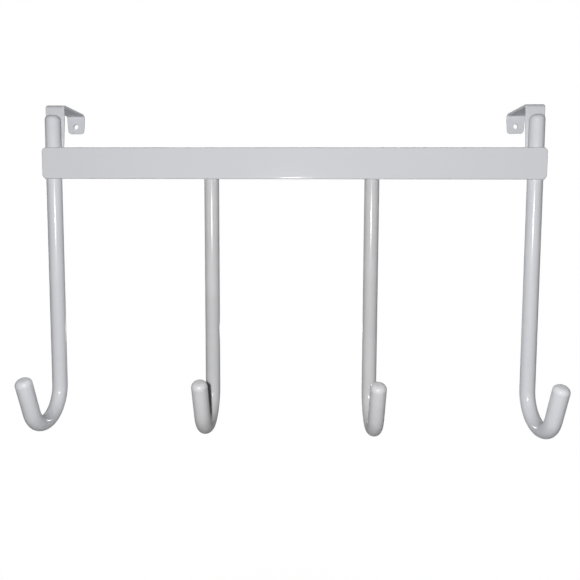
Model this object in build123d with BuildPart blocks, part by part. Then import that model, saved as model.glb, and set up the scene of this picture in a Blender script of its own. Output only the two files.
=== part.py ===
from build123d import *
import os

# Over door hook rack: J shaped rods welded behind a flat cross bar and hung on a door by two folded strips.
# Millimetres, +Z up. The origin is on the door's front top edge, midway between the two strips.
# The door fills y > 0 and z < 0, and the hooks come out towards -Y.

# Hook rods
rod_diameter = 11.9
hook_pitch = 130.0
hook_drop = 183.4  # from the bar's middle line down to where the bend starts
bend_radius = 23.4  # along the rod's centre line
bend_angle = 159.5  # short of a half turn, so the tip leans out
tip_length = 30.6  # straight run after the bend
end_radius = 4.2  # rounding of the rod's cut ends
outer_head_rise = 39.4  # outer rods' heads above the bar's middle line
inner_head_inset = 2.5  # inner rods' heads below the bar's upper edge
weld_set_down = 0.4  # depth of the flat seat that a weld presses into a rod

# Cross bar
bar_overhang = 5.8  # past the outer rods' centre lines
bar_height = 25.0
bar_thickness = 3.0
bar_corner_radius = 3.5
bar_edge_radius = 1.0
bar_drop = 47.2  # from the door's top edge down to the bar's middle line

# Door brackets, each folded from one strip
bracket_shift = 1.0  # outwards from the outer rods' centre lines
sheet_thickness = 2.0
sheet_edge_radius = 0.85
strip_width = 15.6
fold_radius = 1.5  # inside the folds
door_gap = 36.5
leg_parallel = 8.0  # full width run below the front fold
foot_width = 11.2
foot_inset = 4.0  # leg's lower end above the bar's lower edge
tab_length = 15.2  # below the door's top edge
tab_parallel = 3.0  # full width run below the back fold
tab_end_width = 14.0
taper_blend = 15.0
strip_corner_radius = 2.8
screw_hole_diameter = 4.2
screw_hole_inset = 6.2  # hole's centre above the tab's end

# Across the door
inner_x = hook_pitch / 2
outer_x = 3 * hook_pitch / 2
bracket_x = outer_x + bracket_shift
bar_length = 2 * (outer_x + bar_overhang)

# Layers from the door's face outwards: strip, rod, bar
rod_radius = rod_diameter / 2
leg_front_y = -sheet_thickness
rod_y = leg_front_y + weld_set_down - rod_radius
bar_back_y = rod_y - rod_radius + weld_set_down

# Levels, down from the door's top edge
bar_z = -bar_drop
bend_z = bar_z - hook_drop
outer_head_z = bar_z + outer_head_rise
inner_head_z = bar_z + bar_height / 2 - inner_head_inset
foot_z = bar_z - bar_height / 2 + foot_inset
tab_end_z = -tab_length


def make_cross_bar():
    """Flat bar with rounded corners and rolled edges, its back face on the rods' front seats."""
    with BuildPart() as bar:
        with BuildSketch(Plane.XZ.offset(-bar_back_y)):
            with Locations((0, bar_z)):
                RectangleRounded(bar_length, bar_height, min(bar_corner_radius, 0.45 * bar_height))
        extrude(amount=bar_thickness)
        broad_faces = bar.faces().sort_by(Axis.Y)
        fillet(broad_faces[0].edges() + broad_faces[-1].edges(), min(bar_edge_radius, 0.45 * bar_thickness))
    return bar.part


def make_hook_rod(rod_x, head_z, on_bracket):
    """Round rod: straight shank, forward bend and leaning tip, with rounded ends and flat weld seats."""
    with BuildPart() as rod:
        with BuildLine(Plane.YZ.offset(rod_x)) as centre_line:
            shank = Line((rod_y, head_z), (rod_y, bend_z))
            bend = JernArc(shank @ 1, shank % 1, bend_radius, -bend_angle)
            PolarLine(bend @ 1, tip_length, direction=bend % 1)
        with BuildSketch(Plane(centre_line.line @ 0, z_dir=centre_line.line % 0)):
            Circle(rod_radius)
        sweep()
        cut_ends = rod.faces().filter_by(GeomType.PLANE)
        fillet(cut_ends.edges(), min(end_radius, 0.9 * rod_radius))

        # Seat for the cross bar in front
        with BuildSketch(Plane.XZ.offset(-bar_back_y)):
            with Locations((rod_x, bar_z)):
                Rectangle(rod_diameter, bar_height)
        extrude(amount=weld_set_down, mode=Mode.SUBTRACT)

        # Seat for the bracket's leg behind
        if on_bracket:
            with BuildSketch(Plane.XZ.offset(-leg_front_y)):
                with Locations((rod_x, (head_z + foot_z) / 2)):
                    Rectangle(rod_diameter, head_z - foot_z)
            extrude(amount=-weld_set_down, mode=Mode.SUBTRACT)
    return rod.part


def make_door_bracket(centre_x):
    """Strip folded twice over the door: tapered leg in front, plate on top, tab with a screw hole behind."""
    half_width = strip_width / 2
    root_z = -fold_radius
    tab_back_y = door_gap + sheet_thickness
    with BuildPart() as bracket:
        # Both folds and the plate, from the line that lies against the door
        with BuildSketch(Plane.YZ.offset(centre_x)):
            with BuildLine():
                FilletPolyline(
                    (0, root_z - leg_parallel / 2),
                    (0, 0),
                    (door_gap, 0),
                    (door_gap, root_z - tab_parallel / 2),
                    radius=fold_radius,
                )
                offset(amount=sheet_thickness, side=Side.LEFT)
            make_face()
        extrude(amount=half_width, both=True)

        # Leg and tab, which run at full width from their folds and then narrow to rounded ends
        for back_y, parallel, end_z, end_width in (
            (0, leg_parallel, foot_z, foot_width),
            (tab_back_y, tab_parallel, tab_end_z, tab_end_width),
        ):
            half_end = end_width / 2
            taper_z = root_z - parallel
            with BuildSketch(Plane((centre_x, back_y, 0), x_dir=(1, 0, 0), z_dir=(0, -1, 0))) as outline:
                with BuildLine():
                    Polyline(
                        (-half_width, root_z),
                        (half_width, root_z),
                        (half_width, taper_z),
                        (half_end, end_z),
                        (-half_end, end_z),
                        (-half_width, taper_z),
                        close=True,
                    )
                make_face()
                fillet(outline.vertices().group_by(Axis.Y)[0], strip_corner_radius)
                fillet(outline.vertices().group_by(Axis.Y)[-2], taper_blend)
            extrude(amount=sheet_thickness)

        # Sheared edges, all but the smooth lines across the folds and through the thickness
        fold_lines = bracket.edges().filter_by(Axis.X).filter_by(lambda edge: edge.length > 0.999 * strip_width)
        sheared = bracket.edges() - fold_lines - bracket.edges().filter_by(Axis.Y)
        fillet(sheared, min(sheet_edge_radius, 0.45 * sheet_thickness))

        with Locations(Plane((centre_x, door_gap, tab_end_z + screw_hole_inset), z_dir=(0, -1, 0))):
            Hole(screw_hole_diameter / 2, sheet_thickness)
    return bracket.part


pieces = {
    "cross_bar": make_cross_bar(),
    "outer_hook_left": make_hook_rod(-outer_x, outer_head_z, on_bracket=True),
    "outer_hook_right": make_hook_rod(outer_x, outer_head_z, on_bracket=True),
    "inner_hook_left": make_hook_rod(-inner_x, inner_head_z, on_bracket=False),
    "inner_hook_right": make_hook_rod(inner_x, inner_head_z, on_bracket=False),
    "door_bracket_left": make_door_bracket(-bracket_x),
    "door_bracket_right": make_door_bracket(bracket_x),
}

os.makedirs("parts", exist_ok=True)
for name, piece in pieces.items():
    piece.label = name
    export_step(piece, f"parts/{name}.step")
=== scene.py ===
from math import cos, radians, sin, sqrt

import bmesh
import bpy
from mathutils import Matrix, Vector


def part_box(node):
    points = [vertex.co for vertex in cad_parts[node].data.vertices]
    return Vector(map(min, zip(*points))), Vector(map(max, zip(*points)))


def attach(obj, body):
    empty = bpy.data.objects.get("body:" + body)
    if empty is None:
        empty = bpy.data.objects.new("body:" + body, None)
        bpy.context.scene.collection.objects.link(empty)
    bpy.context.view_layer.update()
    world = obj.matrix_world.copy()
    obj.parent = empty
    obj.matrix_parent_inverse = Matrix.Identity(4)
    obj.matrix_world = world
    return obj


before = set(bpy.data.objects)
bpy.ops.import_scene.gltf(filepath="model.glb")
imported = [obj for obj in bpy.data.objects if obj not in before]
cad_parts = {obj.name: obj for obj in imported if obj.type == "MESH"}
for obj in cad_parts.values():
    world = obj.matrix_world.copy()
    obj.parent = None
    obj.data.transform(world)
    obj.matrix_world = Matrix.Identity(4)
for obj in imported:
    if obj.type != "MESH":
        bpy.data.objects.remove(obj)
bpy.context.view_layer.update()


# The cross bar: one length of flat mild steel across the front of all four rods, its corners rounded off.
# It is welded to the rods, and the whole rack is then sprayed with gloss white enamel and baked.
# The enamel lies a little cloudy, with the fine orange peel and the odd dust nib of a sprayed coat.
def add_node(tree, kind, links=None, **settings):
    """A node in a tree. links gives its inputs, by name or number, an output or a plain value."""
    node = tree.nodes.new(kind)
    for name, value in settings.items():
        setattr(node, name, value)
    for name, value in (links or {}).items():
        if isinstance(name, int):
            socket = node.inputs[name]
        else:
            socket = next(s for s in node.inputs if s.name == name and s.enabled)
        if isinstance(value, bpy.types.NodeSocket):
            tree.links.new(value, socket)
        else:
            socket.default_value = value
    return node


def result(node):
    """The output of a node that is in use."""
    return next(s for s in node.outputs if s.enabled)


def combine(tree, operation, first, second, clamp=False):
    """Two values put together by a maths node."""
    node = add_node(tree, "ShaderNodeMath", {0: first, 1: second}, operation=operation, use_clamp=clamp)
    return result(node)


def remap(tree, value, low, high, at_low=0.0, at_high=1.0, curve="LINEAR"):
    """A value that goes from at_low to at_high as the given one goes from low to high."""
    node = add_node(
        tree,
        "ShaderNodeMapRange",
        {"Value": value, "From Min": low, "From Max": high, "To Min": at_low, "To Max": at_high},
        interpolation_type=curve,
    )
    return result(node)


def add_noise(tree, place, scale, detail):
    """Soft noise, with about scale patches to the metre."""
    node = add_node(tree, "ShaderNodeTexNoise", {"Vector": place, "Scale": scale, "Detail": detail})
    return node.outputs[0]


def make_enamel_group():
    """Sprayed enamel: its cloudy colour, its uneven gloss, and the height of its peel and dust nibs."""
    tree = bpy.data.node_groups.new("sprayed_enamel", "ShaderNodeTree")
    inputs = {
        "Coordinates": "Vector",
        "Paler": "Color",
        "Greyer": "Color",
        "Greyer Share": "Float",
        "Gloss": "Float",
    }
    outputs = {"Color": "Color", "Roughness": "Float", "Gloss": "Float", "Height": "Float"}
    for direction, sockets in (("INPUT", inputs), ("OUTPUT", outputs)):
        for name, kind in sockets.items():
            tree.interface.new_socket(name, in_out=direction, socket_type="NodeSocket" + kind)
    given = tree.nodes.new("NodeGroupInput").outputs
    place = given["Coordinates"]

    # Broad clouds, where the coat lies thicker or thinner
    cloud = add_noise(tree, place, scale=16.0, detail=2.0)
    haze = remap(tree, cloud, low=0.32, high=0.68, at_low=-0.4, at_high=0.4)
    # The greyer share given in carries the rods' painted light, paler on their tips.
    thinness = combine(tree, "ADD", given["Greyer Share"], haze, clamp=True)
    colour = add_node(
        tree,
        "ShaderNodeMix",
        {"Factor": thinness, "A": given["Paler"], "B": given["Greyer"]},
        data_type="RGBA",
    )

    # Small patches, where the gloss is stronger or duller
    sheen = add_noise(tree, place, scale=60.0, detail=3.0)
    unevenness = remap(tree, sheen, low=0.25, high=0.75, at_low=0.85, at_high=1.15)
    gloss = combine(tree, "MULTIPLY", given["Gloss"], unevenness)
    roughness = remap(tree, sheen, low=0.25, high=0.75, at_low=0.42, at_high=0.28)

    # Orange peel up to one high, and dust nibs up to three above it
    peel = add_noise(tree, place, scale=500.0, detail=1.0)
    speck = add_node(tree, "ShaderNodeTexVoronoi", {"Vector": place, "Scale": 90.0}).outputs["Distance"]
    nib = remap(tree, speck, low=0.02, high=0.05, at_low=3.0, at_high=0.0, curve="SMOOTHSTEP")
    height = combine(tree, "ADD", peel, nib)

    taken = tree.nodes.new("NodeGroupOutput").inputs
    tree.links.new(result(colour), taken["Color"])
    tree.links.new(roughness, taken["Roughness"])
    tree.links.new(gloss, taken["Gloss"])
    tree.links.new(height, taken["Height"])
    return tree


sprayed_enamel = make_enamel_group()


def make_enamel(name, paler, greyer, gloss, blur, peel_depth):
    """Gloss enamel in the shades of one kind of piece: its colours, its gloss and the depth of its peel."""
    clear_coat_ior = 1.7
    material = bpy.data.materials.new(name)
    material.use_nodes = True
    tree = material.node_tree
    place = add_node(tree, "ShaderNodeTexCoord").outputs["Object"]
    coat = add_node(
        tree,
        "ShaderNodeGroup",
        {
            "Coordinates": place,
            "Paler": (*paler, 1.0),
            "Greyer": (*greyer, 1.0),
            "Greyer Share": 0.5,
            "Gloss": gloss,
        },
        node_tree=sprayed_enamel,
        name="coat",
    )
    bump = add_node(
        tree,
        "ShaderNodeBump",
        {"Strength": 1.0, "Distance": peel_depth, "Height": coat.outputs["Height"]},
    )
    shader = tree.nodes["Principled BSDF"].inputs
    tree.links.new(coat.outputs["Color"], shader["Base Color"])
    tree.links.new(coat.outputs["Roughness"], shader["Roughness"])
    tree.links.new(coat.outputs["Gloss"], shader["Coat Weight"])
    tree.links.new(result(bump), shader["Normal"])
    shader["Specular IOR Level"].default_value = 0.0
    shader["Coat IOR"].default_value = clear_coat_ior
    shader["Coat Roughness"].default_value = blur
    return material


bar_enamel = make_enamel(
    "bar_enamel",
    paler=(0.584, 0.589, 0.612),
    greyer=(0.576, 0.587, 0.610),
    gloss=0.4,
    blur=0.12,
    peel_depth=5.0e-6,
)
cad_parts["cross_bar"].material_slots[0].material = bar_enamel


# The hook rods: round mild steel rod, bent cold into a J, with both ends rounded over on a wheel.
# Each is welded to the back of the cross bar, and the outer two carry the door brackets.
# Painted light: the tips, which stand out nearest the lamp, are paler, and the rods greyer further back.
painted_light_depth = 0.002  # behind the foremost point of the tips
painted_light_fade = 0.014
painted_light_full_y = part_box("outer_hook_left")[0].y + painted_light_depth
painted_light_end_y = painted_light_full_y + painted_light_fade
outer_rod_enamel = make_enamel(
    "outer_rod_enamel",
    paler=(0.640, 0.648, 0.676),
    greyer=(0.586, 0.597, 0.624),
    gloss=0.2,
    blur=0.21,
    peel_depth=9.0e-6,
)
# The inner rods run from paler tips to greyer shanks more steeply than the outer ones.
inner_rod_enamel = make_enamel(
    "inner_rod_enamel",
    paler=(0.660, 0.660, 0.673),
    greyer=(0.538, 0.539, 0.547),
    gloss=0.2,
    blur=0.21,
    peel_depth=9.0e-6,
)
for place, enamel in (("outer", outer_rod_enamel), ("inner", inner_rod_enamel)):
    tree = enamel.node_tree
    coordinates = add_node(tree, "ShaderNodeTexCoord").outputs["Object"]
    axes = add_node(tree, "ShaderNodeSeparateXYZ", {"Vector": coordinates})
    # Painted light: 0 on the tips' front, where the colour is palest, and 1 further back, where it is
    # greyer.
    painted_shade_share = remap(tree, axes.outputs["Y"], low=painted_light_full_y, high=painted_light_end_y, curve="SMOOTHSTEP")
    tree.links.new(painted_shade_share, tree.nodes["coat"].inputs["Greyer Share"])
    for side in ("left", "right"):
        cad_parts[f"{place}_hook_{side}"].material_slots[0].material = enamel


# The bar's welds: a bead of filler metal in the crevice on each side of every rod, behind the cross bar.
# They are laid by hand in overlapping pools, stop just past the bar's lower edge and are painted with it.
weld_enamel = make_enamel(
    "weld_enamel",
    paler=(0.592, 0.602, 0.632),
    greyer=(0.588, 0.600, 0.624),
    gloss=0.2,
    blur=0.25,
    peel_depth=12.0e-6,
)


def add_bead(bead_mesh, length, radius, pool_pitch, flatness):
    """A weld bead along its own Z from the origin, swollen by its pools and rounded at both ends."""
    sides = 14
    rings_per_pool = 6
    pool_swell = 0.12
    pool_roundness = 0.9
    end_squareness = 6
    least_end_share = 0.25
    ring_count = round(length * rings_per_pool / pool_pitch)
    start = bmesh.ops.create_circle(bead_mesh, cap_ends=True, segments=sides, radius=1.0)
    bead = list(start["verts"])
    cap = bead[0].link_faces[0]
    foot_edges = list(cap.edges)
    bmesh.ops.scale(bead_mesh, vec=(1, flatness, 1), verts=cap.verts)
    old_scale = 1.0
    old_z = 0.0
    for ring in range(ring_count + 1):
        z = length * ring / ring_count
        along = 2 * z / length - 1
        pool = 2 * (ring % rings_per_pool) / rings_per_pool - 1
        swell = 1 - pool_swell + pool_swell * sqrt(1 - pool_roundness * pool**2)
        end_share = max(least_end_share, sqrt(1 - abs(along) ** end_squareness))
        scale = radius * swell * end_share
        if ring > 0:
            cap = bmesh.ops.extrude_discrete_faces(bead_mesh, faces=[cap])["faces"][0]
            bead.extend(cap.verts)
        bmesh.ops.scale(bead_mesh, vec=(scale / old_scale, scale / old_scale, 1), verts=cap.verts)
        bmesh.ops.translate(bead_mesh, vec=(0, 0, z - old_z), verts=cap.verts)
        old_scale = scale
        old_z = z
    bmesh.ops.edgeloop_fill(bead_mesh, edges=foot_edges)
    return bead


def finish_welds(name, bead_mesh):
    """Weld beads as one smooth, painted piece of the rack."""
    bmesh.ops.recalc_face_normals(bead_mesh, faces=bead_mesh.faces)
    for face in bead_mesh.faces:
        face.smooth = True
    mesh = bpy.data.meshes.new(name)
    bead_mesh.to_mesh(mesh)
    bead_mesh.free()
    mesh.materials.append(weld_enamel)
    welds = bpy.data.objects.new(name, mesh)
    bpy.context.scene.collection.objects.link(welds)
    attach(welds, "root")


bar_bead_radius = 0.0019
bar_bead_aside = 0.0045  # from the rod's middle line
bar_bead_behind = 0.0014  # from the bar's back face
bar_bead_below = 0.0003  # from the bar's lower edge
bar_bead_shortfall = 0.0028  # against the bar's height
left_pool_pitch = 0.0020
right_pool_pitch = 0.0018
bar_low, bar_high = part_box("cross_bar")
bar_bead_y = bar_high.y + bar_bead_behind
bar_bead_z = bar_low.z - bar_bead_below
bar_bead_length = bar_high.z - bar_low.z - bar_bead_shortfall
beads = bmesh.new()
for rod in ("outer_hook_left", "inner_hook_left", "inner_hook_right", "outer_hook_right"):
    rod_low, rod_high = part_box(rod)
    rod_x = (rod_low.x + rod_high.x) / 2
    for aside, pool_pitch in ((-bar_bead_aside, left_pool_pitch), (bar_bead_aside, right_pool_pitch)):
        bead = add_bead(beads, bar_bead_length, bar_bead_radius, pool_pitch, flatness=0.9)
        bmesh.ops.translate(beads, vec=(rod_x + aside, bar_bead_y, bar_bead_z), verts=bead)
finish_welds("bar_welds", beads)


# The door brackets: each folded from one strip of sheet steel, with a screw hole punched in its back tab.
# The tapered leg is welded to the back of the outer rod by a short bead under its foot.
bracket_enamel = make_enamel(
    "bracket_enamel",
    paler=(0.576, 0.586, 0.612),
    greyer=(0.570, 0.584, 0.608),
    gloss=0.2,
    blur=0.18,
    peel_depth=5.0e-6,
)
foot_bead_length = 0.0076
foot_bead_radius = 0.0013
foot_bead_behind = 0.0008  # from the leg's front face
foot_bead_below = 0.0003  # from the leg's lower end
foot_pool_pitch = 0.0015
quarter_turn = Matrix.Rotation(radians(90), 3, "Y")
beads = bmesh.new()
for side in ("left", "right"):
    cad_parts["door_bracket_" + side].material_slots[0].material = bracket_enamel
    rod_low, rod_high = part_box("outer_hook_" + side)
    bracket_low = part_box("door_bracket_" + side)[0]
    foot_bead_x = (rod_low.x + rod_high.x - foot_bead_length) / 2
    foot_bead_y = bracket_low.y + foot_bead_behind
    foot_bead_z = bracket_low.z - foot_bead_below
    bead = add_bead(beads, foot_bead_length, foot_bead_radius, foot_pool_pitch, flatness=0.85)
    bmesh.ops.rotate(beads, cent=(0, 0, 0), matrix=quarter_turn, verts=bead)
    bmesh.ops.translate(beads, vec=(foot_bead_x, foot_bead_y, foot_bead_z), verts=bead)
finish_welds("foot_welds", beads)


# The floor: a plain pale studio floor below the rack, which hangs in the air as it does in the picture.
# Under the rack it takes the lamps' soft shadow and painted shade; further out it runs into the white
# background.
floor_size = 6.0
floor_z = -0.50
floor_shade = 0.72
floor_roughness = 0.9
shadow_middle = (0.0, -0.12, floor_z)
shadow_radius = 0.3
white_in_shadow = 0.82  # share of plain white where the shadow is deepest


def add_sight(tree):
    """1 for rays that show a thing, straight, in gloss or through glass, and 0 for rays of its light."""
    path = add_node(tree, "ShaderNodeLightPath").outputs
    looked_at = combine(tree, "MAXIMUM", path["Is Camera Ray"], path["Is Glossy Ray"])
    return combine(tree, "MAXIMUM", looked_at, path["Is Transmission Ray"])


floor_mesh = bmesh.new()
bmesh.ops.create_grid(floor_mesh, x_segments=1, y_segments=1, size=floor_size / 2)
bmesh.ops.translate(floor_mesh, vec=(0, 0, floor_z), verts=floor_mesh.verts)
mesh = bpy.data.meshes.new("floor")
floor_mesh.to_mesh(mesh)
floor_mesh.free()

floor_paint = bpy.data.materials.new("pale_floor")
floor_paint.use_nodes = True
tree = floor_paint.node_tree
matt = tree.nodes["Principled BSDF"]
matt.inputs["Base Color"].default_value = (floor_shade, floor_shade, floor_shade, 1)
matt.inputs["Roughness"].default_value = floor_roughness
matt.inputs["Specular IOR Level"].default_value = 0.0
coordinates = add_node(tree, "ShaderNodeTexCoord").outputs["Object"]
away = add_node(tree, "ShaderNodeVectorMath", {0: coordinates, 1: shadow_middle}, operation="DISTANCE")
# Painted shade: less white shows towards the shadow's middle, so the floor there is darker.
openness = remap(
    tree,
    away.outputs["Value"],
    low=0.0,
    high=shadow_radius,
    at_low=white_in_shadow,
    at_high=1.0,
    curve="SMOOTHSTEP",
)
share = combine(tree, "MULTIPLY", add_sight(tree), openness)
white = add_node(tree, "ShaderNodeEmission", {"Color": (1, 1, 1, 1), "Strength": 1.0})
blend = add_node(tree, "ShaderNodeMixShader", {0: share, 1: matt.outputs[0], 2: result(white)})
tree.links.new(result(blend), tree.nodes["Material Output"].inputs["Surface"])
mesh.materials.append(floor_paint)
floor = bpy.data.objects.new("floor", mesh)
bpy.context.scene.collection.objects.link(floor)


# The camera stands close in front of the rack and a little below the bar, with a wide lens.
# So the hooks' tips spread outwards from their rods, and the plates show their undersides.
# The shift is the picture's own framing, and colours are shown as they are written.
camera_spot = Vector((0.011837, -0.423103, -0.094928))
camera_turn = radians(1.6183)
camera_dip = radians(3.9651)
camera_roll = radians(0.2289)
camera = bpy.data.objects.new("camera", bpy.data.cameras.new("camera"))
camera.data.sensor_width = 36.0
camera.data.lens = 31.5414
camera.data.shift_x = -0.00219
camera.data.shift_y = -0.05408
camera.data.clip_start = 0.01
camera.matrix_world = (
    Matrix.Translation(camera_spot)
    @ Matrix.Rotation(camera_turn, 4, "Z")
    @ Matrix.Rotation(radians(90) - camera_dip, 4, "X")
    @ Matrix.Rotation(camera_roll, 4, "Z")
)
bpy.context.scene.collection.objects.link(camera)
bpy.context.scene.camera = camera
bpy.context.scene.view_settings.view_transform = "Standard"


# The near lamp: a small one fixed beside the lens, so that the rack is lit evenly from any side.
# Its beam is a cone, stronger towards the edge, and it fades slowly, so that nothing near burns out.
flash_left = 0.022
flash_up = 0.006
flash_size = 0.006
beam_power = -1.2  # of the cosine off the beam's middle line, which lifts its edge
beam_end = 0.70  # cosine where the beam ends
beam_full = 0.82  # cosine inside which it is full
near_lamp = bpy.data.objects.new("near_lamp", bpy.data.lights.new("near_lamp", "POINT"))
near_lamp.parent = camera
near_lamp.location = (-flash_left, flash_up, 0.0)
near_lamp.data.energy = 16.0
near_lamp.data.shadow_soft_size = flash_size
near_lamp.visible_glossy = False
near_lamp.data.use_nodes = True
tree = near_lamp.data.node_tree
direction = add_node(tree, "ShaderNodeTexCoord").outputs["Normal"]
axes = add_node(tree, "ShaderNodeSeparateXYZ", {"Vector": direction})
forward = result(add_node(tree, "ShaderNodeMath", {0: axes.outputs["Z"]}, operation="ABSOLUTE"))
fanned = combine(tree, "POWER", forward, beam_power)
cone = remap(tree, forward, low=beam_end, high=beam_full, curve="SMOOTHSTEP")
beam = combine(tree, "MULTIPLY", fanned, cone)
reach = add_node(tree, "ShaderNodeLightFalloff", {"Strength": beam})
tree.links.new(reach.outputs["Linear"], tree.nodes["Emission"].inputs["Strength"])
bpy.context.scene.collection.objects.link(near_lamp)


# The glint lamps: two tiny ones that only show in the enamel's gloss and throw no other light.
# One is in the near lamp's place, and one stands low behind the rack and shows in the hooks' bends.
front_glint_spot = camera_spot + Vector((-flash_left, 0.0, flash_up))
rear_glint_spot = Vector((-0.010, 0.43, -0.275))
for spot, energy in ((front_glint_spot, 8.0), (rear_glint_spot, 2.0)):
    glint_lamp = bpy.data.objects.new("glint_lamp", bpy.data.lights.new("glint_lamp", "POINT"))
    glint_lamp.location = spot
    glint_lamp.data.energy = energy
    glint_lamp.data.shadow_soft_size = flash_size
    glint_lamp.visible_camera = False
    glint_lamp.visible_diffuse = False
    bpy.context.scene.collection.objects.link(glint_lamp)


# The back lamps: three broad soft ones high behind the rack, the strongest of them on the left.
# They only lift the rods' shaded rims, and don't show in the gloss.
back_lamp_distance = 1.1
back_lamp_height = 0.42
back_lamp_size = 0.6
back_lamp_spread = radians(60)
rack_middle = Vector((0, 0, -0.12))
for turn, energy in ((-30, 0.45), (0, 0.25), (30, 0.15)):
    back_lamp = bpy.data.objects.new("back_lamp", bpy.data.lights.new("back_lamp", "AREA"))
    across = back_lamp_distance * sin(radians(turn))
    behind = back_lamp_distance * cos(radians(turn))
    back_lamp.location = (across, behind, back_lamp_height)
    aim = rack_middle - back_lamp.location
    back_lamp.rotation_euler = aim.to_track_quat("-Z", "Y").to_euler()
    back_lamp.data.size = back_lamp_size
    back_lamp.data.spread = back_lamp_spread
    back_lamp.data.energy = energy
    back_lamp.visible_camera = False
    back_lamp.visible_glossy = False
    bpy.context.scene.collection.objects.link(back_lamp)


# The room: dim all round, so that the shaded sides of the rack stay dark.
# To the lens, and in the enamel's gloss, it shows as plain white.
room_light = 0.03
room = bpy.data.worlds.new("white_room")
bpy.context.scene.world = room
room.use_nodes = True
tree = room.node_tree
dim = tree.nodes["Background"]
dim.inputs["Color"].default_value = (1, 1, 1, 1)
dim.inputs["Strength"].default_value = room_light
white = add_node(tree, "ShaderNodeBackground", {"Color": (1, 1, 1, 1), "Strength": 1.0})
blend = add_node(tree, "ShaderNodeMixShader", {0: add_sight(tree), 1: dim.outputs[0], 2: white.outputs[0]})
tree.links.new(result(blend), tree.nodes["World Output"].inputs["Surface"])
